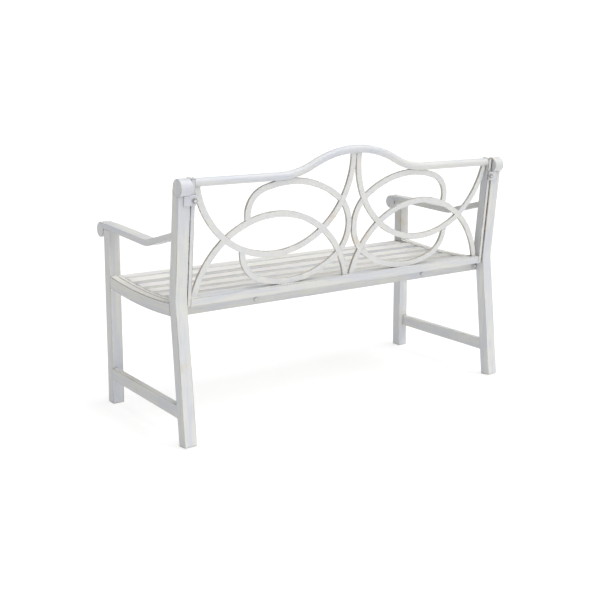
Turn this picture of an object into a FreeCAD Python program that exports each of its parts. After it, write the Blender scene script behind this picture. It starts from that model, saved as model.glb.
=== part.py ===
import FreeCAD, Part
import math
import os
import Sketcher
from FreeCAD import Placement, Rotation, Vector

# Steel garden bench with arms: two square-tube side frames, a slatted seat
# with a shallow dip, and a reclined back panel filled with flat-bar curves.
# Millimetres. X runs along the seat (+X is the sitter's left), the bench
# faces -Y, Z is up. The origin is on the floor at the middle of the bench.

os.makedirs("parts", exist_ok=True)
doc = FreeCAD.newDocument("garden_bench")
sheet = doc.addObject("Spreadsheet::Sheet", "sizes")

# ------------------------------------------------------------ driving sizes
SIZES = [
    # overall
    ("bench_length", 1270.0),        # over the outer faces of the legs
    ("tube_side", 38.0),             # square tube of legs and posts
    ("rail_width", 19.0),            # width of the stretchers and the front rail
    ("seat_rail_width", 25.0),       # width of the dished side rails
    ("tube_wall", 2.0),
    # side frame
    ("front_leg_face", -241.0),      # front face of the front legs
    ("rear_foot_edge", 252.0),       # front bottom edge of the rear feet
    ("lean_angle", 6.0),             # splay of the rear leg, recline of the back
    ("knee_height", 432.0),          # where the rear post changes direction
    ("post_rise", 333.0),            # from the knee to the roll, along the post
    ("roll_radius", 26.0),           # roll on top of the rear post
    ("knee_bend", 150.0),
    ("arm_thickness", 19.0),
    ("arm_front_height", 598.0),     # top of the arm over the front leg
    ("arm_dip_height", 585.0),       # top of the arm at its lowest point
    ("arm_dip_place", 62.0),
    ("arm_flat_end", -214.0),
    ("arm_rear_height", 629.0),      # top of the arm where it meets the post
    ("arm_bend", 110.0),
    ("scroll_radius", 24.5),         # roll at the front of the arm
    ("scroll_place", -271.5),
    ("stretcher_bottom", 83.0),
    # seat
    ("dip_radius", 2000.0),          # hollow of the seat, across its depth
    ("dip_place", 47.0),
    ("dip_height", 413.8),
    ("slat_width", 40.0),
    ("slat_pitch", 69.0),
    ("slat_height", 10.0),
    ("slat_sheet", 2.0),
    ("slat_last", 135.0),            # centre of the slat nearest the back
    ("front_slat_gap", 2.0),         # front slat to each front leg
    ("front_slat_top", 422.0),
    ("front_slat_place", -217.0),
    ("rear_rail_bottom", 377.0),
    ("bearer_place", 340.0),
    ("bearer_thickness", 6.0),
    ("bearer_height", 28.0),
    ("bearer_gap", 0.4),             # slat flange to the bearer under it
    ("end_bar_width", 14.0),         # bar that the slat ends are welded to
    ("end_bar_height", 30.0),
    # back panel
    ("stile_width", 12.5),
    ("panel_depth", 30.0),
    ("panel_gap", 4.0),              # stile to post
    ("bottom_rail_top", 4.0),        # along the recline, from the knee
    ("bottom_rail_height", 25.0),
    ("top_rail_radius", 12.7),
    ("top_rail_place", 344.0),
    ("hump_rise", 71.0),
    ("hump_reach", 285.0),
    ("hump_foot_radius", 256.0),
    ("bar_width", 19.0),
    ("bar_depth", 8.0),
    ("sweep_radius", 282.0),
    ("sweep_place", 292.5),
    ("sweep_height", 387.0),
    ("arch_radius", 283.0),
    ("arch_place", 288.5),
    ("arch_height", -54.0),
    # fixings
    ("bolt_shank", 4.0),             # radii of the shank, its hole and the head
    ("bolt_hole", 4.2),
    ("bolt_head", 7.5),
    ("head_height", 5.3),
    ("nut_height", 6.0),
    ("washer_radius", 8.5),
    ("washer_height", 1.6),
    ("spacer_radius", 6.2),
    ("upper_bolt_length", 26.0),
    ("lower_bolt_length", 16.0),
    ("fixing_rise", 15.0),           # bolts of the rear rail, from its bottom
    ("seat_fixing_drop", 20.0),      # bolts of the end bars, below the seat
    ("front_fixing_place", -120.0),
    ("rear_fixing_place", 100.0),
    ("tab_thickness", 4.0),
    ("tab_height", 297.0),
    ("tab_width", 40.0),
    ("tab_tall", 30.0),
    ("lug_height", 32.0),
    ("lug_drop", 10.0),              # lug below its bolt
    ("bearer_plate_width", 34.0),
    ("bearer_plate_height", 28.0),
    ("bearer_relief", 22.0),         # bearer cut back from its bolt
    ("plug_flange", 3.0),
    ("plug_depth", 18.0),
    ("plug_fit", 0.2),
    ("arm_joint_slack", 1.05),       # depth of the arm's rear end over its thickness
    ("post_gap_under_roll", 8.0),
]
for row, (alias, value) in enumerate(SIZES, start=1):
    sheet.set("A%d" % row, alias)
    sheet.set("B%d" % row, str(value))
    sheet.setAlias("B%d" % row, alias)
doc.recompute()


class Size:
    """A length known both as a number and as an expression on the sheet."""

    def __init__(self, value, text):
        self.value = value
        self.text = text

    def join(self, other, sign, value):
        return Size(value, "(%s %s %s)" % (self.text, sign, other.text))

    def __add__(self, other):
        other = size(other)
        return self.join(other, "+", self.value + other.value)

    def __sub__(self, other):
        other = size(other)
        return self.join(other, "-", self.value - other.value)

    def __mul__(self, other):
        other = size(other)
        return self.join(other, "*", self.value * other.value)

    def __truediv__(self, other):
        other = size(other)
        return self.join(other, "/", self.value / other.value)

    def __radd__(self, other):
        return size(other) + self

    def __rsub__(self, other):
        return size(other) - self

    def __rmul__(self, other):
        return size(other) * self

    def __neg__(self):
        return Size(-self.value, "(0 - %s)" % self.text)


def size(thing):
    if isinstance(thing, Size):
        return thing
    return Size(float(thing), "(%s)" % repr(float(thing)))


def sine(angle):
    value = math.sin(math.radians(angle.value))
    return Size(value, "sin(%s * 1 deg)" % angle.text)


def cosine(angle):
    value = math.cos(math.radians(angle.value))
    return Size(value, "cos(%s * 1 deg)" % angle.text)


class Sheet:
    def __getattr__(self, alias):
        return Size(float(sheet.get(alias)), "sizes.%s" % alias)


d = Sheet()
nodes = {}


def keep(label, thing):
    """Register an object of the document as a sub-part to be written."""
    thing.Label = label
    nodes[label] = thing
    return thing


def bind(thing, prop, value):
    thing.setExpression(prop, size(value).text)


def place(thing, x, y, z):
    for axis, value in zip("xyz", (x, y, z)):
        bind(thing, "Placement.Base.%s" % axis, value)


def turn(thing, angle, axis):
    thing.Placement = Placement(Vector(0, 0, 0), Rotation(axis, angle))


# -------------------------------------------------------------- primitives
def box(name, lengths, corner, tilt=0.0):
    thing = doc.addObject("Part::Box", name)
    for prop, value in zip(("Length", "Width", "Height"), lengths):
        bind(thing, prop, value)
    if tilt:
        turn(thing, tilt, Vector(1, 0, 0))
    place(thing, *corner)
    return thing


def cylinder(name, radius, height, start, axis, angle=360.0):
    thing = doc.addObject("Part::Cylinder", name)
    bind(thing, "Radius", radius)
    bind(thing, "Height", height)
    thing.Angle = angle
    thing.Placement = Placement(Vector(0, 0, 0), Rotation(Vector(0, 0, 1), axis))
    place(thing, *start)
    return thing


def cut(name, base, tool):
    thing = doc.addObject("Part::Cut", name)
    thing.Base = base
    thing.Tool = tool
    return thing


def cut_all(name, base, tools):
    if len(tools) == 1:
        return cut(name, base, tools[0])
    return cut(name, base, fuse(name + "_tools", tools))


def fuse(name, things):
    thing = doc.addObject("Part::MultiFuse", name)
    thing.Shapes = things
    return thing


def common(name, base, tool):
    thing = doc.addObject("Part::Common", name)
    thing.Base = base
    thing.Tool = tool
    return thing


def group(name, things):
    thing = doc.addObject("Part::Compound", name)
    thing.Links = things
    return thing


# ---------------------------------------------- bodies drawn from the side
def side_sketch(body, name, points, middle):
    """Closed outline in the Y-Z plane, every corner bound to the sheet."""
    sketch = body.newObject("Sketcher::SketchObject", name)
    plane = [p for p in body.Origin.OriginFeatures if p.Role == "YZ_Plane"][0]
    sketch.AttachmentSupport = [(plane, "")]
    sketch.MapMode = "FlatFace"
    bind(sketch, "AttachmentOffset.Base.z", middle)
    corners = [Vector(p[0].value, p[1].value, 0) for p in points]
    count = len(corners)
    for i in range(count):
        line = Part.LineSegment(corners[i], corners[(i + 1) % count])
        sketch.addGeometry(line, False)
    for i in range(count):
        sketch.addConstraint(
            Sketcher.Constraint("Coincident", i, 2, (i + 1) % count, 1))
    for i in range(count):
        for kind, value in (("DistanceX", points[i][0]), ("DistanceY", points[i][1])):
            index = sketch.addConstraint(
                Sketcher.Constraint(kind, -1, 1, i, 1, value.value))
            sketch.setExpression("Constraints[%d]" % index, value.text)
    return sketch


def both_ways(feature):
    if hasattr(feature, "SideType"):
        feature.SideType = "Symmetric"
    else:
        feature.Midplane = True


def side_body(name, points, middle, width, inner=None, bends=()):
    """Outline padded about x = middle, bends rounded, then hollowed out."""
    body = doc.addObject("PartDesign::Body", name)
    sketch = side_sketch(body, name + "_outline", points, middle)
    pad = body.newObject("PartDesign::Pad", name + "_pad")
    pad.Profile = sketch
    both_ways(pad)
    bind(pad, "Length", width)
    doc.recompute()
    base = pad
    for count, (y, z, radius) in enumerate(bends):
        edges = []
        for index, edge in enumerate(base.Shape.Edges, start=1):
            ends = [v.Point for v in edge.Vertexes]
            if len(ends) == 2 and all(
                    abs(p.y - y.value) < 0.01 and abs(p.z - z.value) < 0.01
                    for p in ends):
                edges.append("Edge%d" % index)
        fillet = body.newObject("PartDesign::Fillet", "%s_bend%d" % (name, count))
        fillet.Base = (base, edges)
        bind(fillet, "Radius", radius)
        doc.recompute()
        base = fillet
    if inner:
        hollow = side_sketch(body, name + "_bore_outline", inner, middle)
        pocket = body.newObject("PartDesign::Pocket", name + "_bore")
        pocket.Profile = hollow
        both_ways(pocket)
        bind(pocket, "Length", width - 2 * d.tube_wall)
        doc.recompute()
        if pocket.Shape.Volume >= base.Shape.Volume - 1:
            raise RuntimeError("%s was not hollowed" % name)
    return body


# ------------------------------------------------------- shared positions
SIDES = (("left", 1), ("right", -1))
half = d.bench_length / 2
outer_middle = half - d.tube_side / 2          # middle of the square tubes
stretcher_middle = half - d.rail_width / 2     # flush with the outer faces
rail_middle = half - d.seat_rail_width / 2
rail_inside = half - d.seat_rail_width         # inner face of the side rails
lean_sine = sine(d.lean_angle)
lean_cosine = cosine(d.lean_angle)
knee_y = d.rear_foot_edge - d.knee_height * lean_sine / lean_cosine
lean = d.lean_angle.value


def back_point(rise, depth):
    """A point of the reclined back: rise up the slope, depth from its front."""
    y = knee_y + rise * lean_sine + depth * lean_cosine
    z = d.knee_height + rise * lean_cosine - depth * lean_sine
    return (y, z)


def leg_point(height, depth):
    """A point of the splayed leg: height along it, depth from its front."""
    y = d.rear_foot_edge - height * lean_sine + depth * lean_cosine
    z = height * lean_cosine + depth * lean_sine
    return (y, z)


def knee_point(depth):
    """Where the front or rear face of the post turns, at the knee."""
    along = d.knee_height / lean_cosine
    y, z = leg_point(along, depth)
    return (y, z - depth * lean_sine)


# --------------------------------------------------- front legs, foot plugs
for side, sign in SIDES:
    middle = sign * outer_middle
    name = "front_leg_%s" % side
    leg_top = d.arm_front_height - d.arm_thickness
    face = d.front_leg_face
    shell = box(name + "_shell",
                (d.tube_side, d.tube_side, leg_top - d.plug_flange),
                (middle - d.tube_side / 2, face, d.plug_flange))
    bore = box(name + "_bore",
               (d.tube_side - 2 * d.tube_wall, d.tube_side - 2 * d.tube_wall,
                leg_top - d.plug_flange),
               (middle - d.tube_side / 2 + d.tube_wall, face + d.tube_wall,
                d.plug_flange))
    leg = cut(name + "_tube", shell, bore)
    # the top follows the slope of the arm's underside
    slope = (d.arm_front_height - d.arm_dip_height) / (d.arm_dip_place - d.arm_flat_end)
    under = d.arm_front_height - d.arm_thickness
    drop = slope * (d.tube_side + 4 + face - d.arm_flat_end)
    wedge = side_body(name + "_wedge", [
        (d.arm_flat_end, under), (face + d.tube_side + 4, under - drop),
        (face + d.tube_side + 4, under + 6), (d.arm_flat_end, under + 6)],
        middle, d.tube_side + 4)
    keep(name, cut(name, leg, wedge))

    flange = box("front_flange_%s" % side,
                 (d.tube_side, d.tube_side, d.plug_flange),
                 (middle - d.tube_side / 2, face, size(0)))
    inset = d.tube_wall + d.plug_fit
    stem = box("front_stem_%s" % side,
               (d.tube_side - 2 * inset, d.tube_side - 2 * inset, d.plug_depth),
               (middle - d.tube_side / 2 + inset, face + inset, size(0)))
    keep("front_foot_plug_%s" % side, fuse("front_plug_%s" % side, [flange, stem]))

# ------------------------------------------------- rear posts, foot plugs
post_end = d.post_rise - d.post_gap_under_roll  # the roll closes the rest
for side, sign in SIDES:
    middle = sign * outer_middle
    name = "rear_post_%s" % side
    start = d.plug_flange
    tube = d.tube_side
    wall = d.tube_wall
    outline = [leg_point(start, size(0)), knee_point(size(0)),
               back_point(post_end, size(0)), back_point(post_end, tube),
               knee_point(tube), leg_point(start, tube)]
    bore = [leg_point(start, wall), knee_point(wall), back_point(post_end, wall),
            back_point(post_end, tube - wall), knee_point(tube - wall),
            leg_point(start, tube - wall)]
    bends = [knee_point(size(0)) + (d.knee_bend + tube,),
             knee_point(tube) + (d.knee_bend,)]
    body = side_body(name + "_tube", outline, middle, tube, bore, bends)
    roll_y, roll_z = back_point(d.post_rise, d.roll_radius)
    tool = cylinder(name + "_cope", d.roll_radius, d.tube_side + 8,
                    (middle - d.tube_side / 2 - 4, roll_y, roll_z), Vector(1, 0, 0))
    keep(name, cut(name, body, tool))
    roll = cylinder("roll_%s" % side, d.roll_radius, d.tube_side,
                    (middle - d.tube_side / 2, roll_y, roll_z), Vector(1, 0, 0))
    keep("post_top_roll_%s" % side, roll)

    inset = wall + d.plug_fit
    foot_y, foot_z = leg_point(size(0), size(0))
    flange = box("rear_flange_%s" % side, (tube, tube, d.plug_flange),
                 (middle - tube / 2, foot_y, foot_z), lean)
    stem_y, stem_z = leg_point(size(0), inset)
    stem = box("rear_stem_%s" % side, (tube - 2 * inset, tube - 2 * inset, d.plug_depth),
               (middle - tube / 2 + inset, stem_y, stem_z), lean)
    keep("rear_foot_plug_%s" % side, fuse("rear_plug_%s" % side, [flange, stem]))

# ------------------------------------------------------- arms and scrolls
# the arm runs level over the leg, slopes to its dip and climbs to the post
scroll_z = d.arm_front_height - d.scroll_radius
for side, sign in SIDES:
    middle = sign * outer_middle
    name = "armrest_%s" % side
    thick = d.arm_thickness
    wall = d.tube_wall
    front = d.scroll_place
    arm_slope = (d.arm_front_height - d.arm_dip_height) / (d.arm_dip_place - d.arm_flat_end)
    top_rise = (d.arm_rear_height - d.knee_height) / lean_cosine
    low_rise = (d.arm_rear_height - thick * d.arm_joint_slack - d.knee_height) / lean_cosine
    rear_top = back_point(top_rise, size(0))
    rear_low = back_point(low_rise, size(0))

    def arm_line(inset_top, inset_low):
        dip_top = d.arm_dip_height - inset_top
        dip_low = d.arm_dip_height - thick + inset_low
        flat_top = d.arm_front_height - inset_top
        flat_low = d.arm_front_height - thick + inset_low
        return [(front, flat_low), (d.arm_flat_end, flat_low),
                (d.arm_dip_place + 1, dip_low),
                (rear_low[0], rear_low[1] + inset_low),
                (rear_top[0], rear_top[1] - inset_top),
                (d.arm_dip_place - 1, dip_top),
                (d.arm_flat_end, flat_top), (front, flat_top)]

    bends = [(d.arm_dip_place + 1, d.arm_dip_height - thick, d.arm_bend + thick),
             (d.arm_dip_place - 1, d.arm_dip_height, d.arm_bend)]
    body = side_body(name + "_tube", arm_line(size(0), size(0)), middle, d.tube_side,
                     arm_line(wall, wall), bends)
    tool = cylinder(name + "_cope", d.scroll_radius, d.tube_side + 8,
                    (middle - d.tube_side / 2 - 4, front, scroll_z), Vector(1, 0, 0))
    keep(name, cut(name, body, tool))
    scroll = cylinder("scroll_%s" % side, d.scroll_radius, d.tube_side,
                      (middle - d.tube_side / 2, front, scroll_z), Vector(1, 0, 0))
    keep("arm_scroll_%s" % side, scroll)

# -------------------------------------------------- curved seat side rails
dip_z = d.dip_height + d.dip_radius
leg_rear = d.front_leg_face + d.tube_side      # rear face of the front legs
rear_rail_back = knee_y                        # rear face of the seat's rear rail
rear_rail_front = rear_rail_back - d.tube_side


def dished_bar(name, middle, width, below, height, start, end):
    """A bar on edge whose top follows the dip of the seat, below its surface."""
    ring = cylinder(name + "_ring", d.dip_radius + below + height, width,
                    (middle - width / 2, d.dip_place, dip_z), Vector(1, 0, 0))
    core = cylinder(name + "_core", d.dip_radius + below, width + 4,
                    (middle - width / 2 - 2, d.dip_place, dip_z), Vector(1, 0, 0))
    blank = side_body(name + "_blank", [
        (start[0], size(300)), (start[1], size(500)),
        (end[1], size(500)), (end[0], size(300))], middle, width)
    return cut(name + "_bar", common(name + "_run", ring, blank), core)


def post_face(z):
    """Front face of the rear post at a height below the knee."""
    return d.rear_foot_edge - z * lean_sine / lean_cosine


def seat_surface(y):
    """Height of the dished seat at a place along its depth."""
    return d.dip_height + (y - d.dip_place) * (y - d.dip_place) / (2 * d.dip_radius)


SEAT_FIXINGS = (("front", d.front_fixing_place), ("rear", d.rear_fixing_place))


def seat_holes(name, start, length):
    """Holes along X for the bolts that hold the slats' end bars."""
    return [cylinder("%s_hole_%s" % (name, end), d.bolt_hole, length,
                     (start, y, seat_surface(y) - d.seat_fixing_drop), Vector(1, 0, 0))
            for end, y in SEAT_FIXINGS]


for side, sign in SIDES:
    name = "seat_side_rail_%s" % side
    middle = sign * rail_middle
    ends = (leg_rear, leg_rear)
    run = dished_bar(name, middle, d.seat_rail_width, size(0), d.tube_side, ends,
                     (post_face(size(300)), post_face(size(500))))
    bore = dished_bar(name + "_bore", middle, d.seat_rail_width - 2 * d.tube_wall,
                      d.tube_wall, d.tube_side - 2 * d.tube_wall, ends,
                      (post_face(size(300)), post_face(size(500))))
    # each hole goes through the inner wall only
    start = rail_inside - d.tube_wall if sign > 0 else -rail_inside - 2 * d.tube_wall
    holes = seat_holes(name, start, 3 * d.tube_wall)
    keep(name, cut_all(name, cut(name + "_tube", run, bore), holes))

# -------------------------------------------------- lower side stretchers
for side, sign in SIDES:
    name = "lower_side_stretcher_%s" % side
    low = d.stretcher_bottom
    high = d.stretcher_bottom + d.tube_side
    wall = d.tube_wall
    outline = [(leg_rear, low), (post_face(low), low), (post_face(high), high),
               (leg_rear, high)]
    bore = [(leg_rear, low + wall), (post_face(low + wall), low + wall),
            (post_face(high - wall), high - wall), (leg_rear, high - wall)]
    keep(name, side_body(name, outline, sign * stretcher_middle, d.rail_width, bore))

# -------------------------------------------------------- seat cross rails
front_rail_top = d.front_slat_top - d.slat_height
front_rail_face = d.front_slat_place - d.slat_width / 2
front_span = d.bench_length - 2 * d.tube_side
shell = box("front_rail_shell", (front_span, d.rail_width, d.tube_side),
            (-front_span / 2, front_rail_face, front_rail_top - d.tube_side))
bore = box("front_rail_bore",
           (front_span, d.rail_width - 2 * d.tube_wall, d.tube_side - 2 * d.tube_wall),
           (-front_span / 2, front_rail_face + d.tube_wall,
            front_rail_top - d.tube_side + d.tube_wall))
keep("seat_front_rail", cut("front_rail", shell, bore))

rear_span = 2 * rail_inside
shell = box("rear_rail_shell", (rear_span, d.tube_side, d.tube_side),
            (-rear_span / 2, rear_rail_front, d.rear_rail_bottom))
bore = box("rear_rail_bore",
           (rear_span, d.tube_side - 2 * d.tube_wall, d.tube_side - 2 * d.tube_wall),
           (-rear_span / 2, rear_rail_front + d.tube_wall,
            d.rear_rail_bottom + d.tube_wall))
fixing_z = d.rear_rail_bottom + d.fixing_rise
lug_place = half - d.tube_side - d.panel_gap - d.stile_width / 2
holes = []
for side, sign in SIDES:
    holes.append(cylinder("bearer_hole_%s" % side, d.bolt_hole, d.tube_side + 8,
                          (sign * d.bearer_place, rear_rail_front - 4, fixing_z),
                          Vector(0, 1, 0)))
    holes.append(cylinder("lug_hole_%s" % side, d.bolt_hole, size(20),
                          (sign * lug_place, rear_rail_back - 16, fixing_z),
                          Vector(0, 1, 0)))
keep("seat_rear_rail", cut_all("rear_rail", cut("rear_rail_tube", shell, bore), holes))

# ------------------------------------------------------------- seat slats
# folded channels: a flat top with a short flange along each long edge
SLATS = 6
slat_runs = [(1, d.front_slat_place, front_span - 2 * d.front_slat_gap)]
for number in range(2, SLATS + 1):
    slat_runs.append((number, d.slat_last - (SLATS - number) * d.slat_pitch,
                      rear_span - 2 * d.end_bar_width))
for number, slat_y, length in slat_runs:
    name = "seat_slat_%d" % number
    if number == 1:
        top = d.front_slat_top
        tilt = 0.0
    else:
        top = seat_surface(slat_y)
        tilt = math.degrees((slat_y - d.dip_place).value / d.dip_radius.value)
    wide = d.slat_width / 2
    sheet_t = d.slat_sheet
    tall = d.slat_height
    outline = [(-wide, -tall), (-wide, size(0)), (wide, size(0)), (wide, -tall),
               (wide - sheet_t, -tall), (wide - sheet_t, -sheet_t),
               (sheet_t - wide, -sheet_t), (sheet_t - wide, -tall)]
    slat = side_body(name, outline, size(0), length)
    turn(slat, tilt, Vector(1, 0, 0))
    place(slat, size(0), slat_y, top)
    keep(name, slat)

# --------------------- end bars: the slats butt against them, flush on top
for side, sign in SIDES:
    name = "seat_end_bar_%s" % side
    middle = sign * (rail_inside - d.end_bar_width / 2)
    front_end = (leg_rear, leg_rear)
    rear_end = (rear_rail_front, rear_rail_front)
    bar = dished_bar(name, middle, d.end_bar_width, size(0), d.end_bar_height,
                     front_end, rear_end)
    bore = dished_bar(name + "_bore", middle, d.end_bar_width - 2 * d.tube_wall,
                      d.tube_wall, d.end_bar_height - 2 * d.tube_wall,
                      front_end, rear_end)
    holes = seat_holes(name, middle - d.end_bar_width / 2 - 2, d.end_bar_width + 4)
    keep(name, cut_all(name, cut(name + "_tube", bar, bore), holes))

# -------------------------- bearers under the slats, bolted to the rear rail
for side, sign in SIDES:
    name = "seat_bearer_%s" % side
    middle = sign * d.bearer_place
    front_end = front_rail_face + d.rail_width
    bar = dished_bar(name, middle, d.bearer_thickness, d.slat_height + d.bearer_gap,
                     d.bearer_height, (front_end, front_end),
                     (rear_rail_front, rear_rail_front))
    # the front slat lies lower than the dish would, so the bar is cut down there
    relief = box(name + "_relief", (d.bearer_thickness + 4, size(60), size(40)),
                 (middle - d.bearer_thickness / 2 - 2, front_end - 2,
                  front_rail_top - d.bearer_gap))
    plate = box(name + "_plate",
                (d.bearer_plate_width, d.tab_thickness, d.bearer_plate_height),
                (middle - d.bearer_plate_width / 2, rear_rail_front - d.tab_thickness,
                 fixing_z - d.bearer_plate_height / 2))
    # the bar stops short of the bolt, which sits in the middle of the plate
    gap = box(name + "_gap", (d.bearer_thickness + 4, d.bearer_relief, size(40)),
              (middle - d.bearer_thickness / 2 - 2,
               rear_rail_front - d.tab_thickness - d.bearer_relief, fixing_z - 32))
    trimmed = cut(name + "_trim", bar, fuse(name + "_cuts", [relief, gap]))
    joined = fuse(name + "_welded", [trimmed, plate])
    hole = cylinder(name + "_hole", d.bolt_hole, d.tab_thickness + 4,
                    (middle, rear_rail_front - d.tab_thickness - 2, fixing_z),
                    Vector(0, 1, 0))
    keep(name, cut(name, joined, hole))

# ------------------------------------------------------- back panel frame
# local frame of the panel: x along the bench, y up the recline, z to the front
panel_turn = Rotation(Vector(1, 0, 0), 90 - lean)
panel_middle = d.tube_side / 2
panel_front = panel_middle - d.panel_depth / 2


def on_panel(thing, x, rise, depth, spin=0.0):
    """Place an object in the panel: depth counts back from the post's front."""
    y, z = back_point(rise, depth)
    turned = panel_turn.multiply(Rotation(Vector(0, 0, 1), spin))
    thing.Placement = Placement(Vector(0, 0, 0), turned)
    place(thing, x, y, z)
    return thing


def panel_box(name, lengths, x, rise, depth_back):
    """Box in the panel's frame; depth_back is the depth of its rear face."""
    thing = doc.addObject("Part::Box", name)
    for prop, value in zip(("Length", "Width", "Height"), lengths):
        bind(thing, prop, value)
    return on_panel(thing, x, rise, depth_back)


def panel_pin(name, radius, length, x, rise, depth_back):
    """Cylinder across the panel, from its rear end towards the front."""
    thing = doc.addObject("Part::Cylinder", name)
    bind(thing, "Radius", radius)
    bind(thing, "Height", length)
    return on_panel(thing, x, rise, depth_back)


stile_outside = half - d.tube_side - d.panel_gap
stile_inside = stile_outside - d.stile_width
bottom_rail_low = d.bottom_rail_top - d.bottom_rail_height
panel_back = panel_front + d.panel_depth
stile_top = d.top_rail_place + d.top_rail_radius

for side, sign in SIDES:
    name = "back_stile_%s" % side
    corner = stile_inside if sign > 0 else -stile_outside
    bar = panel_box(name + "_bar",
                    (d.stile_width, stile_top - bottom_rail_low, d.panel_depth),
                    corner, bottom_rail_low, panel_back)
    hole = panel_pin(name + "_hole", d.bolt_hole, size(24), sign * lug_place,
                     d.tab_height, panel_back + 2)
    keep(name, cut(name, bar, hole))

shell = panel_box("bottom_rail_shell",
                  (2 * stile_inside, d.bottom_rail_height, d.panel_depth),
                  -stile_inside, bottom_rail_low, panel_back)
bore = panel_box("bottom_rail_bore",
                 (2 * stile_inside, d.bottom_rail_height - 2 * d.tube_wall,
                  d.panel_depth - 2 * d.tube_wall),
                 -stile_inside, bottom_rail_low + d.tube_wall,
                 panel_back - d.tube_wall)
keep("back_bottom_rail", cut("bottom_rail", shell, bore))

# top rail: straight ends and a central hump, made of four tangent bends
hump_sum = (d.hump_reach * d.hump_reach + d.hump_rise * d.hump_rise) / (2 * d.hump_rise)
crown_radius = hump_sum - d.hump_foot_radius
hump_angle = math.degrees(math.asin(d.hump_reach.value / hump_sum.value))


def rail_solid(name, radius):
    """The top rail as one solid of the given radius, in straight and bent runs."""
    runs = []
    straight = stile_inside - d.hump_reach
    for side, sign in SIDES:
        run = doc.addObject("Part::Cylinder", "%s_straight_%s" % (name, side))
        bind(run, "Radius", radius)
        bind(run, "Height", straight)
        run.Placement = Placement(
            Vector(0, 0, 0), Rotation(Vector(0, 0, 1), Vector(sign, 0, 0)))
        y, z = back_point(d.top_rail_place, panel_middle)
        place(run, sign * d.hump_reach, y, z)
        runs.append(run)
        # a torus sector needs its axis across the panel
        foot = doc.addObject("Part::Torus", "%s_foot_%s" % (name, side))
        bind(foot, "Radius1", d.hump_foot_radius)
        bind(foot, "Radius2", radius)
        foot.Angle3 = hump_angle
        spin = -90.0 - hump_angle if sign > 0 else -90.0
        on_panel(foot, sign * d.hump_reach,
                 d.top_rail_place + d.hump_foot_radius, panel_middle, spin)
        runs.append(foot)
    crown = doc.addObject("Part::Torus", name + "_crown")
    bind(crown, "Radius1", crown_radius)
    bind(crown, "Radius2", radius)
    crown.Angle3 = 2 * hump_angle
    on_panel(crown, size(0), d.top_rail_place + d.hump_rise - crown_radius,
             panel_middle, 90.0 - hump_angle)
    runs.append(crown)
    return fuse(name, runs)


rail_outer = rail_solid("top_rail_outer", d.top_rail_radius)
rail_inner = rail_solid("top_rail_inner", d.top_rail_radius - d.tube_wall)
keep("back_top_rail", cut("top_rail", rail_outer, rail_inner))

# ------------------------------------------------- flat bars of the panel
# Every bar is a run of tangent arcs in one plane. Where two bars cross, each
# is notched to half its depth, so that the crossing is flush on both faces.
bar_back = panel_middle + d.bar_depth / 2


def ring_arc(name, sign, x, rise, radius, start, end, depth, depth_back, slack=0.0):
    """Flat bar bent to an arc; angles in degrees in the panel, mirrored by sign."""
    if sign < 0:
        start, end = 180.0 - end, 180.0 - start
    parts = []
    for label, grow, extra in (("outer", 0.5, 0.0), ("inner", -0.5, 2.0)):
        disc = doc.addObject("Part::Cylinder", "%s_%s" % (name, label))
        bind(disc, "Radius", radius + grow * (d.bar_width + 2 * slack))
        bind(disc, "Height", depth + 2 * extra)
        disc.Angle = end - start if label == "outer" else 360.0
        spin = start if label == "outer" else 0.0
        on_panel(disc, sign * x, rise, depth_back + extra, spin)
        parts.append(disc)
    return cut(name, parts[0], parts[1])


# angles of the ends of the sweep and the arch, past the rails that trim them
SWEEP_ENDS = (175.0, 353.0)
ARCH_ENDS = (11.0, 169.0)
# loop: radius and end angle of each tangent arc, walked clockwise
LOOP_START = (311.0, 121.0, 4.0)
LOOP_ARCS = [(95.0, -69.0), (296.0, -128.0), (120.0, -233.0), (305.0, -289.0),
             (78.0, -381.0)]


def loop_runs():
    """Centre, radius and angles of the loop's arcs, tangent to each other."""
    x, rise, angle = LOOP_START
    runs = []
    for index, (radius, end) in enumerate(LOOP_ARCS):
        if index:
            change = LOOP_ARCS[index - 1][0] - radius
            x += change * math.cos(math.radians(angle))
            rise += change * math.sin(math.radians(angle))
        runs.append((x, rise, radius, end, angle))
        angle = end
    return runs


def bar_shape(kind, name, sign, depth, depth_back, slack=0.0):
    """The whole bar, or a half-depth layer of it for use as a notch."""
    if kind == "sweep":
        return ring_arc(name, sign, d.sweep_place, d.sweep_height, d.sweep_radius,
                        *SWEEP_ENDS, depth, depth_back, slack)
    if kind == "arch":
        return ring_arc(name, sign, d.arch_place, d.arch_height, d.arch_radius,
                        *ARCH_ENDS, depth, depth_back, slack)
    parts = []
    for index, (x, rise, radius, start, end) in enumerate(loop_runs()):
        parts.append(ring_arc("%s_%d" % (name, index), sign, size(x), size(rise),
                              size(radius), start, end, depth, depth_back, slack))
    return fuse(name, parts)


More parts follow.
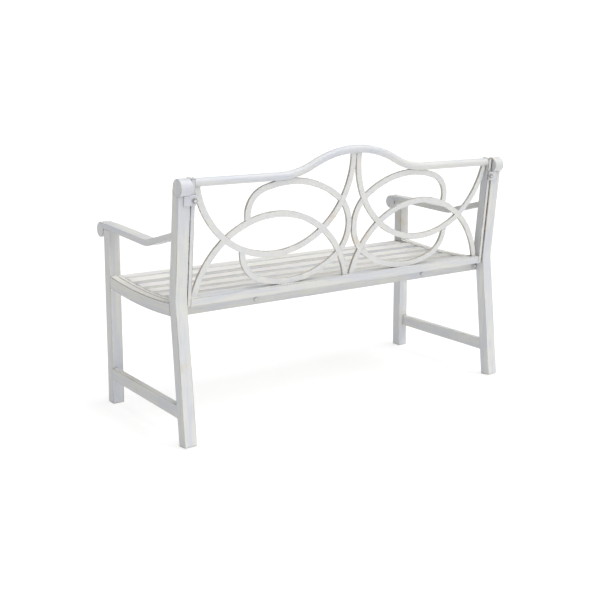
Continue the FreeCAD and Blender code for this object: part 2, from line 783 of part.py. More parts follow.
# which bar keeps the rear layer where two of them cross
REAR_FIRST = {("sweep", "arch"), ("sweep", "loop"), ("arch", "loop")}
BAR_NODES = {"sweep": "back_lower_sweep", "arch": "back_upper_arch",
             "loop": "back_loop"}
half_depth = d.bar_depth / 2
for side, sign in SIDES:
    for kind, label in BAR_NODES.items():
        name = "%s_%s" % (label, side)
        solid = bar_shape(kind, name + "_full", sign, d.bar_depth, bar_back)
        tools = []
        for other in BAR_NODES:
            if other == kind:
                continue
            rear_kept = (kind, other) in REAR_FIRST
            # remove the layer that belongs to the other bar
            layer_back = bar_back - half_depth if rear_kept else bar_back
            tools.append(bar_shape(other, "%s_notch_%s" % (name, other), sign,
                                   half_depth, layer_back))
        tools.append(rail_solid(name + "_rail_trim", d.top_rail_radius))
        reach = stile_inside if sign > 0 else -stile_inside - 60
        tools.append(panel_box(name + "_stile_trim", (size(60), size(520), size(60)),
                               reach, size(-60), panel_back + 10))
        tools.append(panel_box(name + "_low_trim", (size(1300), size(160), size(60)),
                               size(-650), d.bottom_rail_top - 160, panel_back + 10))
        keep(name, cut_all(name, solid, tools))

# ------------------------------------------------ tabs, lugs and fixings
for side, sign in SIDES:
    name = "back_mounting_tab_%s" % side
    inner_x = stile_inside - 1
    corner = inner_x if sign > 0 else -inner_x - d.tab_width
    plate = panel_box(name + "_plate", (d.tab_width, d.tab_tall, d.tab_thickness), corner,
                      d.tab_height - d.tab_tall / 2, d.tube_side + d.tab_thickness)
    hole = panel_pin(name + "_hole", d.bolt_hole, d.tab_thickness + 4,
                     sign * lug_place, d.tab_height,
                     d.tube_side + d.tab_thickness + 2)
    keep(name, cut(name, plate, hole))

    name = "back_foot_lug_%s" % side
    plate = box(name + "_plate", (d.stile_width, d.tab_thickness, d.lug_height),
                (sign * lug_place - d.stile_width / 2, rear_rail_back,
                 fixing_z - d.lug_drop))
    trim = panel_box(name + "_trim", (size(40), size(60), size(60)),
                     sign * lug_place - 20, bottom_rail_low, panel_back + 10)
    hole = cylinder(name + "_hole", d.bolt_hole, d.tab_thickness + 4,
                    (sign * lug_place, rear_rail_back - 2, fixing_z),
                    Vector(0, 1, 0))
    keep(name, cut_all(name, plate, [trim, hole]))


def hex_head(name, radius, height):
    head = doc.addObject("Part::Prism", name)
    head.Polygon = 6
    bind(head, "Circumradius", radius)
    bind(head, "Height", height)
    return head


def bolt(name, length, start, head_way):
    """Hex bolt: the head starts at the seat point and the shank goes the other way."""
    head = hex_head(name + "_head", d.bolt_head, d.head_height)
    shank = doc.addObject("Part::Cylinder", name + "_shank")
    bind(shank, "Radius", d.bolt_shank)
    bind(shank, "Height", length)
    head.Placement = Placement(Vector(0, 0, 0), Rotation(Vector(0, 0, 1), head_way))
    shank.Placement = Placement(Vector(0, 0, 0), Rotation(Vector(0, 0, 1), -head_way))
    place(head, *start)
    place(shank, *start)
    return fuse(name, [head, shank])


back_way = Vector(0, math.cos(math.radians(lean)), -math.sin(math.radians(lean)))
upper_bolts = []
upper_washers = []
upper_spacers = []
lower_bolts = []
bearer_bolts = []
bearer_nuts = []
for side, sign in SIDES:
    washer_back = d.tube_side + d.tab_thickness + d.washer_height
    y, z = back_point(d.tab_height, washer_back)
    upper_bolts.append(bolt("upper_bolt_%s" % side, d.upper_bolt_length,
                            (sign * lug_place, y, z), back_way))
    for kind, rows, depth, radius, height in (
            ("washer", upper_washers, washer_back, d.washer_radius, d.washer_height),
            ("spacer", upper_spacers, d.tube_side, d.spacer_radius,
             d.tube_side - panel_back)):
        disc = panel_pin("upper_%s_disc_%s" % (kind, side), radius, height,
                         sign * lug_place, d.tab_height, depth)
        hole = panel_pin("upper_%s_hole_%s" % (kind, side), d.bolt_hole, height + 4,
                         sign * lug_place, d.tab_height, depth + 2)
        rows.append(cut("upper_%s_%s" % (kind, side), disc, hole))
    seat_y = rear_rail_back + d.tab_thickness
    lower_bolts.append(bolt("lower_bolt_%s" % side, d.lower_bolt_length,
                            (sign * lug_place, seat_y, fixing_z), Vector(0, 1, 0)))
    bearer_bolts.append(bolt("bearer_bolt_%s" % side, d.tube_side + 12,
                             (sign * d.bearer_place, rear_rail_back, fixing_z),
                             Vector(0, 1, 0)))
    nut = hex_head("bearer_nut_body_%s" % side, d.bolt_head, d.nut_height)
    nut.Placement = Placement(Vector(0, 0, 0),
                              Rotation(Vector(0, 0, 1), Vector(0, -1, 0)))
    place(nut, sign * d.bearer_place, rear_rail_front - d.tab_thickness, fixing_z)
    hole = cylinder("bearer_nut_hole_%s" % side, d.bolt_hole, size(10),
                    (sign * d.bearer_place, rear_rail_front - d.tab_thickness - 8,
                     fixing_z), Vector(0, 1, 0))
    bearer_nuts.append(cut("bearer_nut_%s" % side, nut, hole))

seat_bolts = []
for side, sign in SIDES:
    for end, y in SEAT_FIXINGS:
        seat_bolts.append(bolt(
            "seat_bolt_%s_%s" % (side, end), d.end_bar_width + d.tube_wall + 1,
            (sign * (rail_inside - d.end_bar_width), y,
             seat_surface(y) - d.seat_fixing_drop), Vector(-sign, 0, 0)))

keep("back_upper_bolts", group("upper_bolts", upper_bolts))
keep("back_upper_washers", group("upper_washers", upper_washers))
keep("back_upper_spacers", group("upper_spacers", upper_spacers))
keep("back_lower_bolts", group("lower_bolts", lower_bolts))
keep("bearer_bolts", group("bearer_bolt_set", bearer_bolts))
keep("bearer_nuts", group("bearer_nut_set", bearer_nuts))
keep("seat_bolts", group("seat_bolt_set", seat_bolts))

# --------------------------------------------------------- check and write
doc.recompute()
problems = []
for thing in doc.Objects:
    if "Invalid" in thing.State or "Error" in thing.State:
        problems.append("%s %s" % (thing.Name, thing.State))
for label, thing in nodes.items():
    shape = thing.Shape
    if shape.isNull() or not shape.isValid() or not shape.Solids:
        problems.append("%s has no valid solid" % label)
if problems:
    raise RuntimeError("; ".join(problems[:20]))

for label, thing in sorted(nodes.items()):
    solids = thing.Shape.Solids
    print("%-30s solids %d volume %.0f" % (label, len(solids), thing.Shape.Volume))
    thing.Shape.exportStep("parts/%s.step" % label)
print("%d nodes written" % len(nodes))
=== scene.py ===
import math
import random

import bmesh
import bpy
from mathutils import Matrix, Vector
from mathutils.bvhtree import BVHTree


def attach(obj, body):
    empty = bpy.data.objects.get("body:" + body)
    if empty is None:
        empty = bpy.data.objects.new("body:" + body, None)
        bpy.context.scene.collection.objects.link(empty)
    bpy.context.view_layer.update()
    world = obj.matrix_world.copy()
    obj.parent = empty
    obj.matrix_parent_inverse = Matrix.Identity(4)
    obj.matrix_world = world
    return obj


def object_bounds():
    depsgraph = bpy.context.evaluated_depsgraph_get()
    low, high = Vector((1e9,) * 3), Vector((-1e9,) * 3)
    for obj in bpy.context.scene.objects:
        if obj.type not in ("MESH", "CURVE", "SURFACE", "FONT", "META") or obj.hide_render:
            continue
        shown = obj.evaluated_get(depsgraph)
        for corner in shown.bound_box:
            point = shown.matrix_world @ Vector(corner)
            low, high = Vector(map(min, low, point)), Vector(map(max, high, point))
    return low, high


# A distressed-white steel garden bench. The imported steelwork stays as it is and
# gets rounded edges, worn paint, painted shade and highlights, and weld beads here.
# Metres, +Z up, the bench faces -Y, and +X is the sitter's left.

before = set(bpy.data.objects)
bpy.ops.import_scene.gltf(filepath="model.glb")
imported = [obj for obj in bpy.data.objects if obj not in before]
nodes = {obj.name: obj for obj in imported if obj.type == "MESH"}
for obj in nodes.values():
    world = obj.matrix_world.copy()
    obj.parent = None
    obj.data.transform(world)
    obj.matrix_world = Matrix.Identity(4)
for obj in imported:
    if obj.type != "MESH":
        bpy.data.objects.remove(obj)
cad_low, cad_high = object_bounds()
random.seed(11)

SIDES = ("left", "right")
MASK_SAMPLES = 4
MERGE = 0.00002                              # points nearer than this are one point


# ------------------------------------------------------------ node helpers
def new_material(name):
    material = bpy.data.materials.new(name)
    material.use_nodes = True
    tree = material.node_tree
    for node in list(tree.nodes):
        if node.type != "OUTPUT_MATERIAL":
            tree.nodes.remove(node)
    output = next(n for n in tree.nodes if n.type == "OUTPUT_MATERIAL")
    shader = tree.nodes.new("ShaderNodeBsdfPrincipled")
    tree.links.new(shader.outputs["BSDF"], output.inputs["Surface"])
    return material, tree, shader


def feed(tree, socket, value):
    """Sets a socket to a number, or links it to another socket."""
    if isinstance(value, bpy.types.NodeSocket):
        tree.links.new(value, socket)
    else:
        socket.default_value = value


def maths(tree, operation, first, second=None, clamp=False):
    node = tree.nodes.new("ShaderNodeMath")
    node.operation = operation
    node.use_clamp = clamp
    feed(tree, node.inputs[0], first)
    if second is not None:
        feed(tree, node.inputs[1], second)
    return node.outputs[0]


def ramp(tree, value, low, high, out_low=0.0, out_high=1.0):
    """Smooth step of value from low to high."""
    node = tree.nodes.new("ShaderNodeMapRange")
    node.interpolation_type = "SMOOTHSTEP"
    feed(tree, node.inputs["Value"], value)
    node.inputs["From Min"].default_value = low
    node.inputs["From Max"].default_value = high
    node.inputs["To Min"].default_value = out_low
    node.inputs["To Max"].default_value = out_high
    return node.outputs["Result"]


def blend_colour(tree, factor, first, second):
    node = tree.nodes.new("ShaderNodeMix")
    node.data_type = "RGBA"
    feed(tree, node.inputs["Factor"], factor)
    feed(tree, node.inputs["A"], first)
    feed(tree, node.inputs["B"], second)
    return node.outputs["Result"]


def noise(tree, scale, stretch=(1, 1, 1), detail=3.0, roughness=0.55, distortion=0.0, shift=0.0):
    """Noise in the object's own metres, drawn out by the stretch factors."""
    place = tree.nodes.new("ShaderNodeTexCoord")
    mapping = tree.nodes.new("ShaderNodeMapping")
    mapping.inputs["Scale"].default_value = stretch
    mapping.inputs["Location"].default_value = (shift, shift * 0.7, -shift)
    tree.links.new(place.outputs["Object"], mapping.inputs["Vector"])
    node = tree.nodes.new("ShaderNodeTexNoise")
    node.inputs["Scale"].default_value = scale
    node.inputs["Detail"].default_value = detail
    node.inputs["Roughness"].default_value = roughness
    node.inputs["Distortion"].default_value = distortion
    tree.links.new(mapping.outputs["Vector"], node.inputs["Vector"])
    return node.outputs["Fac"]


def along_normal(tree, way):
    """Dot product of the surface normal and way, a direction or a socket."""
    surface = tree.nodes.new("ShaderNodeNewGeometry")
    dot = tree.nodes.new("ShaderNodeVectorMath")
    dot.operation = "DOT_PRODUCT"
    tree.links.new(surface.outputs["Normal"], dot.inputs[0])
    feed(tree, dot.inputs[1], way)
    return dot.outputs["Value"]


def facing(tree, way):
    """1 on faces across the given way, on both sides, and 0 on faces along it."""
    return maths(tree, "ABSOLUTE", along_normal(tree, way))


def edge_mask(tree, reach):
    """1 on an outside edge of the metal, falling to 0 at reach from it."""
    bevel = tree.nodes.new("ShaderNodeBevel")
    bevel.samples = MASK_SAMPLES
    bevel.inputs["Radius"].default_value = reach
    turned = along_normal(tree, bevel.outputs["Normal"])
    return maths(tree, "SUBTRACT", 1.0, turned, clamp=True)


def corner_mask(tree, reach):
    """1 in an inside corner, where two pieces meet, falling to 0 in the open."""
    shade = tree.nodes.new("ShaderNodeAmbientOcclusion")
    shade.samples = MASK_SAMPLES
    shade.inputs["Distance"].default_value = reach
    return maths(tree, "SUBTRACT", 1.0, shade.outputs["AO"], clamp=True)


def bump(tree, shader, height, strength, distance):
    node = tree.nodes.new("ShaderNodeBump")
    node.inputs["Strength"].default_value = strength
    node.inputs["Distance"].default_value = distance
    tree.links.new(height, node.inputs["Height"])
    tree.links.new(node.outputs["Normal"], shader.inputs["Normal"])


# --------------------------------------------------------------- materials
GRAINS = {"x": (0.06, 1, 1), "y": (1, 0.06, 1), "z": (1, 1, 0.05), "any": (1, 1, 1)}
PAINT_COOL = (0.62, 0.64, 0.685, 1)
PAINT_WARM = (0.715, 0.71, 0.675, 1)
# painted highlight colours, for the broad faces
HIGHLIGHT_CREAM = (0.80, 0.79, 0.74, 1)
HIGHLIGHT_ROSE = (0.785, 0.765, 0.755, 1)
# painted shade colour, for narrow faces and inside corners
SHADE_BROWN = (0.42, 0.36, 0.27, 1)
UNDERCOAT = (0.27, 0.21, 0.13, 1)
# bare metal on rubbed edges, and painted shade deep in inside corners
BARE_METAL_AND_DEEP_SHADE = (0.060, 0.050, 0.040, 1)
OCHRE = (0.62, 0.48, 0.27, 1)
STEEL = (0.055, 0.052, 0.048, 1)
RUST = (0.16, 0.115, 0.08, 1)
RUBBED_STEEL = (0.30, 0.29, 0.27, 1)
PLASTIC = (0.74, 0.74, 0.71, 1)
SCUFF = (0.42, 0.39, 0.33, 1)
UP = (0, 0, 1)
CORNER_REACH = 0.007                         # how far the painted corner shade spreads from a corner
LEAN = math.radians(6)                       # recline of the back panel
PANEL_NORMAL = (0, math.cos(LEAN), -math.sin(LEAN))


def brushed_white(tree, streaks, clouds, stretch):
    """Two near whites in long brush strokes."""
    bands = noise(tree, 38.0, stretch, detail=2.0, shift=4.4)
    tone = maths(tree, "ADD", maths(tree, "MULTIPLY", streaks, 0.40),
                 maths(tree, "MULTIPLY", bands, 0.35))
    tone = maths(tree, "ADD", tone, maths(tree, "MULTIPLY", clouds, 0.25))
    return blend_colour(tree, ramp(tree, tone, 0.40, 0.60), PAINT_COOL, PAINT_WARM)


def painted_face_light(tree, colour, clouds, bright_way, side_shade_share, highlight_share):
    """Painted highlight in cream on the broad faces, and painted shade in brown on the narrow
    faces between them.
    """
    broad = ramp(tree, facing(tree, bright_way), 0.55, 0.92)
    # painted highlight: the broad faces are made creamier and lighter than the paint
    highlight_tint = blend_colour(tree, ramp(tree, clouds, 0.42, 0.60), HIGHLIGHT_CREAM, HIGHLIGHT_ROSE)
    colour = blend_colour(tree, maths(tree, "MULTIPLY", broad, highlight_share), colour, highlight_tint)
    narrow = maths(tree, "SUBTRACT", 1.0, broad)
    # painted shade: brown on the narrow faces, broken up by noise
    narrow_shade = ramp(tree, noise(tree, 14.0, detail=5.0, roughness=0.65, shift=2.6),
                   0.34, 0.62, 0.45, 1.0)
    narrow_shade = maths(tree, "MULTIPLY", narrow_shade, side_shade_share)
    return blend_colour(tree, maths(tree, "MULTIPLY", narrow, narrow_shade), colour, SHADE_BROWN)


def painted_corner_shade(tree, colour):
    """Ochre bloom in patches, then painted shade from ambient occlusion: brown in inside corners
    and near-black deep in them.
    """
    bloom = ramp(tree, noise(tree, 11.0, detail=4.0, shift=8.3), 0.62, 0.80, 0.0, 0.40)
    colour = blend_colour(tree, bloom, colour, OCHRE)
    # painted shade: brown where ambient occlusion finds an inside corner
    corner = ramp(tree, corner_mask(tree, CORNER_REACH), 0.25, 0.62)
    patch = ramp(tree, noise(tree, 45.0, detail=4.0, shift=1.7), 0.38, 0.60, 0.25, 0.85)
    colour = blend_colour(tree, maths(tree, "MULTIPLY", corner, patch), colour, SHADE_BROWN)
    # painted shade: near-black where the corners are deepest
    deep_corner_shade = maths(tree, "MULTIPLY", ramp(tree, corner, 0.70, 1.0), ramp(tree, patch, 0.62, 0.82))
    return blend_colour(tree, deep_corner_shade, colour, BARE_METAL_AND_DEEP_SHADE)


def antique_paint(name, grain, wear, reach=0.0032, bright_way=None, side_shade_share=0.0, highlight_share=0.0,
                  dashed=False):
    """Brushed off-white paint with painted shade in the corners, rubbed through on edges.

    wear is how much of the edges is rubbed, reach how far from the edge it goes.
    bright_way is the way that the broad faces point: the narrow faces between
    them get painted shade in brown by the share in side_shade_share, and the broad ones
    get a creamy painted highlight by the share in highlight_share. dashed breaks the rubbed
    edges into short marks.
    """
    material, tree, shader = new_material(name)
    stretch = GRAINS[grain]
    streaks = noise(tree, 130.0, stretch, detail=4.0, roughness=0.6)
    clouds = noise(tree, 7.0, detail=3.0, shift=3.1)
    colour = brushed_white(tree, streaks, clouds, stretch)
    # painted highlight on the broad faces and painted shade on the narrow ones
    if bright_way:
        colour = painted_face_light(tree, colour, clouds, bright_way, side_shade_share, highlight_share)
    # painted shade in the inside corners
    colour = painted_corner_shade(tree, colour)
    # paint rubbed off the outside edges: a brown line, in places down to the metal
    edge = edge_mask(tree, reach)
    rub = noise(tree, 26.0, GRAINS["any"] if dashed else stretch, detail=6.0, roughness=0.65,
                shift=5.9)
    line = maths(tree, "MULTIPLY", ramp(tree, edge, 0.010, 0.10),
                 ramp(tree, rub, 0.60 - wear, 0.74 - wear))
    colour = blend_colour(tree, line, colour, UNDERCOAT)
    core = maths(tree, "MULTIPLY", ramp(tree, edge, 0.06, 0.20),
                 ramp(tree, rub, 0.72 - wear, 0.80 - wear))
    colour = blend_colour(tree, core, colour, BARE_METAL_AND_DEEP_SHADE)
    tree.links.new(colour, shader.inputs["Base Color"])
    rough = maths(tree, "ADD", maths(tree, "MULTIPLY", streaks, 0.16),
                  maths(tree, "MULTIPLY", line, 0.25))
    tree.links.new(maths(tree, "ADD", rough, 0.38), shader.inputs["Roughness"])
    shader.inputs["Specular IOR Level"].default_value = 0.42
    height = maths(tree, "SUBTRACT", maths(tree, "MULTIPLY", streaks, 0.5),
                   maths(tree, "MULTIPLY", line, 0.8))
    bump(tree, shader, height, 0.35, 0.0004)
    return material


def dark_steel(name):
    """Dull dark hardware with spots of rust and brighter edges."""
    material, tree, shader = new_material(name)
    spots = noise(tree, 260.0, detail=5.0, roughness=0.7)
    edge = ramp(tree, edge_mask(tree, 0.0012), 0.02, 0.2)
    colour = blend_colour(tree, ramp(tree, spots, 0.40, 0.65), STEEL, RUST)
    colour = blend_colour(tree, maths(tree, "MULTIPLY", edge, 0.6), colour, RUBBED_STEEL)
    tree.links.new(colour, shader.inputs["Base Color"])
    tree.links.new(ramp(tree, spots, 0.3, 0.7, 0.42, 0.68), shader.inputs["Roughness"])
    shader.inputs["Metallic"].default_value = 0.6
    bump(tree, shader, spots, 0.3, 0.0003)
    return material


def foot_plastic(name):
    """Off-white moulded plastic with scuffs."""
    material, tree, shader = new_material(name)
    grain = noise(tree, 900.0, detail=2.0)
    scuff = ramp(tree, noise(tree, 60.0, (1, 1, 3), detail=5.0, roughness=0.7), 0.50, 0.72)
    colour = blend_colour(tree, maths(tree, "MULTIPLY", scuff, 0.5), PLASTIC, SCUFF)
    tree.links.new(colour, shader.inputs["Base Color"])
    tree.links.new(ramp(tree, scuff, 0.0, 1.0, 0.55, 0.75), shader.inputs["Roughness"])
    bump(tree, shader, grain, 0.25, 0.0002)
    return material


# ------------------------------------------- finishes and edges of the steel
def grain_of(name):
    if name.startswith(("seat_slat", "seat_front", "seat_rear", "back_bottom", "back_top")):
        return "x"
    if name.startswith(("seat_side", "lower_side", "armrest", "seat_end", "seat_bearer")):
        return "y"
    return "z"


PAINTED_BOLTS = ("back_upper_bolts", "back_upper_washers", "back_lower_bolts",
                 "bearer_bolts")
BARE_FIXINGS = ("back_upper_spacers", "bearer_nuts", "seat_bolts")
BARS = ("back_lower_sweep", "back_upper_arch", "back_loop")
paints = {grain: antique_paint("antique_white_%s" % grain, grain, 0.15) for grain in GRAINS}
# bars, slats and side rails get painted highlight on broad faces and painted shade on narrow
# ones
bar_paint = antique_paint("antique_white_bars", "any", 0.13, 0.0030, PANEL_NORMAL,
                          side_shade_share=0.60, highlight_share=0.35)
slat_paint = antique_paint("antique_white_slats", "x", 0.13, 0.0030, UP,
                           side_shade_share=0.10, highlight_share=0.90)
rail_paint = antique_paint("antique_white_side_rails", "y", 0.44, 0.0044, UP, highlight_share=1.0)
stile_paint = antique_paint("antique_white_stiles", "z", 0.27, 0.0036, dashed=True)
front_paint = antique_paint("antique_white_front_rail", "x", 0.27, 0.0036, dashed=True)
bolt_paint = antique_paint("antique_white_bolts", "any", 0.24, 0.0022)
# the spanner took most of the paint off the bolts of the posts
turned_bolt_paint = antique_paint("antique_white_turned_bolts", "any", 0.42, 0.0060)
steel = dark_steel("dark_fixing_steel")
plastic = foot_plastic("foot_plug_plastic")


def finish_of(name):
    if name in BARE_FIXINGS:
        return steel
    if name == "back_upper_bolts":
        return turned_bolt_paint
    if name in PAINTED_BOLTS:
        return bolt_paint
    if "foot_plug" in name:
        return plastic
    if name.startswith("seat_slat"):
        return slat_paint
    if name.startswith(("seat_side_rail", "seat_end_bar")):
        return rail_paint
    if name.startswith(BARS):
        return bar_paint
    if name.startswith("back_stile"):
        return stile_paint
    if name == "seat_front_rail":
        return front_paint
    return paints[grain_of(name)]


def edge_radius(name):
    """Radius of the rounded edges, in metres."""
    if name in PAINTED_BOLTS or name in BARE_FIXINGS:
        return 0.0006
    if name.startswith(BARS):
        return 0.0010
    if name.startswith(("seat_slat", "back_mounting", "back_foot", "seat_bearer")):
        return 0.0009
    if name.startswith(("post_top", "arm_scroll")):
        return 0.0016
    return 0.0022


COPLANAR = math.radians(0.4)
CREASE = math.radians(35)                    # sharper edges than this are rounded


def soften(thing, radius):
    """Rounds the sharp edges without touching the mesh itself."""
    weld = thing.modifiers.new("joined", "WELD")
    weld.merge_threshold = MERGE
    plain = thing.modifiers.new("plain_faces", "DECIMATE")
    plain.decimate_type = "DISSOLVE"
    plain.angle_limit = COPLANAR
    edge = thing.modifiers.new("rounded", "BEVEL")
    edge.width = radius
    edge.segments = 3
    edge.limit_method = "ANGLE"
    edge.angle_limit = CREASE
    edge.use_clamp_overlap = True
    edge.harden_normals = False
    level = thing.modifiers.new("flat_faces", "WEIGHTED_NORMAL")
    level.keep_sharp = False


for name, thing in nodes.items():
    thing.data.materials.clear()
    thing.data.materials.append(finish_of(name))
    soften(thing, edge_radius(name))

# --------------------------------------------------------------- weld beads
BEAD_RADIUS = 0.0021
BEAD_STEP = 0.0011
BEAD_RIPPLE = 0.0034                         # pitch of the ripples along a bead
BEAD_RING = 7                                # sides of a bead's cross-section
BEAD_END = 0.55                              # share of the radius left at its ends
BEAD_TROUGH = 0.84                           # share of the radius between two ripples
BEAD_RISE = 0.20                             # added at the top of a ripple
CONTACT = 0.0003                             # how near two pieces count as touching
SHARP = math.radians(30)                     # only sharper edges carry a bead
GROUND_OFF = 0.0005                          # a bead this near the side is ground off
BORE_SHIFT = 0.0025                          # a bore's outline is this near the outer one
BORE_STEP = 0.002                            # and smaller than it by more than this


def surface_of(name):
    mesh = nodes[name].data
    return BVHTree.FromPolygons([v.co[:] for v in mesh.vertices],
                                [p.vertices[:] for p in mesh.polygons])


def contact_runs(name, neighbour):
    """Outlines of one piece's end where it meets a neighbour, as point lists."""
    surface = surface_of(neighbour)

    def touching(point):
        return surface.find_nearest(point, CONTACT)[0] is not None

    work = bmesh.new()
    work.from_mesh(nodes[name].data)
    bmesh.ops.remove_doubles(work, verts=work.verts, dist=MERGE)
    flush = cad_high[0] - GROUND_OFF         # outer faces of the frame are ground flat
    links = {}
    for edge in work.edges:
        first, last = (v.co.copy() for v in edge.verts)
        if len(edge.link_faces) != 2 or edge.calc_face_angle(0.0) < SHARP:
            continue
        if abs(first.x) > flush and abs(last.x) > flush:
            continue
        if touching(first) and touching(last) and touching((first + last) / 2):
            ends = [v.index for v in edge.verts]
            links.setdefault(ends[0], []).append(ends[1])
            links.setdefault(ends[1], []).append(ends[0])
    places = {v.index: v.co.copy() for v in work.verts}
    work.free()
    runs = []
    left = set(links)
    while left:
        # start from a loose end where there is one
        start = min(left, key=lambda i: (len(links[i]) != 1, i))
        run, here = [start], start
        left.discard(start)
        while True:
            onward = [i for i in links[here] if i in left]
            if not onward:
                break
            here = onward[0]
            left.discard(here)
            run.append(here)
        if len(run) > 2 and run[0] in links[run[-1]]:
            run.append(run[0])
        if len(run) > 1:
            runs.append([places[i] for i in run])
    return outer_runs(runs)


def outer_runs(runs):
    """Leaves out the outline of a tube's bore, which lies inside the outer one."""
    def spread(run):
        return [max(p[k] for p in run) - min(p[k] for p in run) for k in range(3)]

    def centre(run):
        return [(max(p[k] for p in run) + min(p[k] for p in run)) / 2 for k in range(3)]

    kept = []
    for run in runs:
        inside = False
        for other in runs:
            if other is run:
                continue
            near = all(abs(centre(run)[k] - centre(other)[k]) < BORE_SHIFT
                       for k in range(3))
            inside = inside or (near and sum(spread(run)) < sum(spread(other)) - BORE_STEP)
        if not inside:
            kept.append(run)
    return kept


def resampled(run):
    """Even steps along a run, with its corners rounded."""
    points = [run[0]]
    for first, last in zip(run, run[1:]):
        count = max(1, round((last - first).length / BEAD_STEP))
        points += [first.lerp(last, k / count) for k in range(1, count + 1)]
    for _ in range(3):
        middle = [(a + b * 2 + c) / 4 for a, b, c in zip(points, points[1:], points[2:])]
        points = [points[0]] + middle + [points[-1]]
    return points


def add_bead(work, run):
    """Rippled tube along a run, closed at both ends."""
    points = resampled(run)
    if len(points) < 4:
        return
    side = None
    rings = []
    travelled = 0.0
    swell = random.uniform(0.88, 1.10)
    for index, point in enumerate(points):
        before = points[max(index - 1, 0)]
        after = points[min(index + 1, len(points) - 1)]
        way = (after - before).normalized()
        travelled += (point - before).length
        side = way.orthogonal() if side is None else side - way * side.dot(way)
        side.normalize()
        other = way.cross(side)
        ripple = abs(math.sin(math.pi * travelled / BEAD_RIPPLE))
        wander = random.uniform(-0.04, 0.04)
        radius = BEAD_RADIUS * swell * (BEAD_TROUGH + BEAD_RISE * ripple + wander)
        if index in (0, len(points) - 1):
            radius *= BEAD_END
        rings.append([work.verts.new(point + (side * math.cos(turn) + other * math.sin(turn))
                                     * radius)
                      for turn in (math.tau * k / BEAD_RING for k in range(BEAD_RING))])
    for first, last in zip(rings, rings[1:]):
        for k in range(BEAD_RING):
            step = (k + 1) % BEAD_RING
            work.faces.new((first[k], first[step], last[step], last[k]))
    work.faces.new(list(reversed(rings[0])))
    work.faces.new(rings[-1])


def weld_beads(name, joints):
    """One object with the beads of several joints: (piece, the piece it meets)."""
    work = bmesh.new()
    for piece, neighbour in joints:
        for run in contact_runs(piece, neighbour):
            add_bead(work, run)
    bmesh.ops.recalc_face_normals(work, faces=work.faces)
    mesh = bpy.data.meshes.new(name)
    work.to_mesh(mesh)
    work.free()
    for face in mesh.polygons:
        face.use_smooth = True
    mesh.materials.append(paints["any"])
    beads = bpy.data.objects.new(name, mesh)
    bpy.context.scene.collection.objects.link(beads)
    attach(beads, "root")


for side in SIDES:
    post, leg, arm = "rear_post_" + side, "front_leg_" + side, "armrest_" + side
    weld_beads("weld_beads_frame_" + side, [
        ("lower_side_stretcher_" + side, leg), ("lower_side_stretcher_" + side, post),
        ("seat_side_rail_" + side, leg), ("seat_side_rail_" + side, post),
        (arm, post), (leg, arm), (arm, "arm_scroll_" + side),
        (post, "post_top_roll_" + side)])
    weld_beads("weld_beads_seat_" + side, [
        ("seat_rear_rail", "seat_side_rail_" + side), ("seat_front_rail", leg)]
        + [("seat_slat_%d" % number, "seat_end_bar_" + side) for number in range(2, 7)])
    stile = "back_stile_" + side
    weld_beads("weld_beads_panel_" + side, [
        ("back_bottom_rail", stile), ("back_top_rail", stile),
        ("back_mounting_tab_" + side, stile), ("back_foot_lug_" + side, stile)]
        + [(bar + "_" + side, rest) for bar in BARS
           for rest in (stile, "back_bottom_rail", "back_top_rail")])

# ------------------------------------------------------------ floor, lights
FLOOR_GREY = (0.42, 0.42, 0.42, 1)
FLOOR_WHITE = (1, 1, 0.995, 1)
FLOOR_GLOW = 0.68                            # lifts the grey to the white of the backdrop
FLOOR_DROP = 0.0005                          # keeps the floor clear of the feet
FLOOR_SIZE = 160.0
SKY_OVERHEAD = 0.38
SKY_HORIZON = 0.03

floor_material, _, floor_shader = new_material("studio_floor")
floor_shader.inputs["Base Color"].default_value = FLOOR_GREY
floor_shader.inputs["Emission Color"].default_value = FLOOR_WHITE
floor_shader.inputs["Emission Strength"].default_value = FLOOR_GLOW
floor_shader.inputs["Roughness"].default_value = 0.9
floor_shader.inputs["Specular IOR Level"].default_value = 0.1
bpy.ops.mesh.primitive_plane_add(size=FLOOR_SIZE, location=(0, 0, -FLOOR_DROP))
floor = bpy.context.object
floor.name = "studio_floor"
floor.data.materials.append(floor_material)


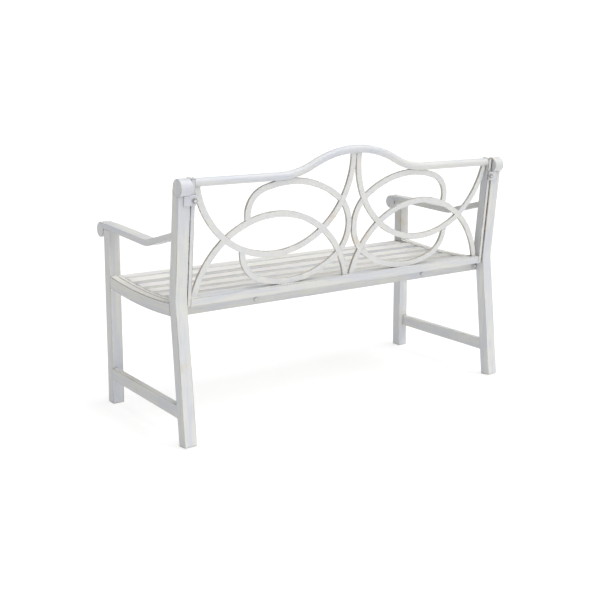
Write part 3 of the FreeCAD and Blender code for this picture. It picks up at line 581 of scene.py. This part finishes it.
def sun(name, azimuth, elevation, strength, softness):
    """Soft light from a bearing (0 is -Y, 90 is +X) and a height, in degrees."""
    light = bpy.data.lights.new(name, "SUN")
    light.energy = strength
    light.angle = math.radians(softness)
    lamp = bpy.data.objects.new(name, light)
    bpy.context.scene.collection.objects.link(lamp)
    turn, lift = math.radians(azimuth), math.radians(elevation)
    towards = Vector((math.sin(turn) * math.cos(lift), -math.cos(turn) * math.cos(lift),
                      math.sin(lift)))
    lamp.rotation_mode = "QUATERNION"
    lamp.rotation_quaternion = towards.to_track_quat("Z", "Y")


sun("key_light", azimuth=218, elevation=66, strength=2.75, softness=56)
sun("fill_light", azimuth=192, elevation=14, strength=0.42, softness=80)

world = bpy.data.worlds.new("studio")
bpy.context.scene.world = world
world.use_nodes = True
sky = world.node_tree
background = sky.nodes["Background"]
path = sky.nodes.new("ShaderNodeLightPath")
direction = sky.nodes.new("ShaderNodeTexCoord")
parts = sky.nodes.new("ShaderNodeSeparateXYZ")
sky.links.new(direction.outputs["Generated"], parts.inputs["Vector"])
# brightest overhead, falling to almost nothing at the horizon
dome = maths(sky, "ADD", maths(sky, "MULTIPLY", maths(sky, "MAXIMUM", parts.outputs["Z"], 0.0),
                               SKY_OVERHEAD), SKY_HORIZON)
glow = maths(sky, "ADD", dome, path.outputs["Is Camera Ray"])
background.inputs["Color"].default_value = (1, 1, 1, 1)
sky.links.new(glow, background.inputs["Strength"])

# ------------------------------------------------------------------ camera
CAMERA_PLACE = (1.917, 2.695, 1.076)
CAMERA_PITCH = 8.93
CAMERA_HEADING = 144.98
CAMERA_LENS = 59.0
CAMERA_SHIFT = -0.12
lens = bpy.data.cameras.new("camera")
lens.sensor_width = 36.0
lens.lens = CAMERA_LENS
lens.shift_y = CAMERA_SHIFT
camera = bpy.data.objects.new("camera", lens)
bpy.context.scene.collection.objects.link(camera)
camera.location = CAMERA_PLACE
camera.rotation_euler = (math.radians(90 - CAMERA_PITCH), 0, math.radians(CAMERA_HEADING))
bpy.context.scene.camera = camera
bpy.context.scene.view_settings.view_transform = "Standard"
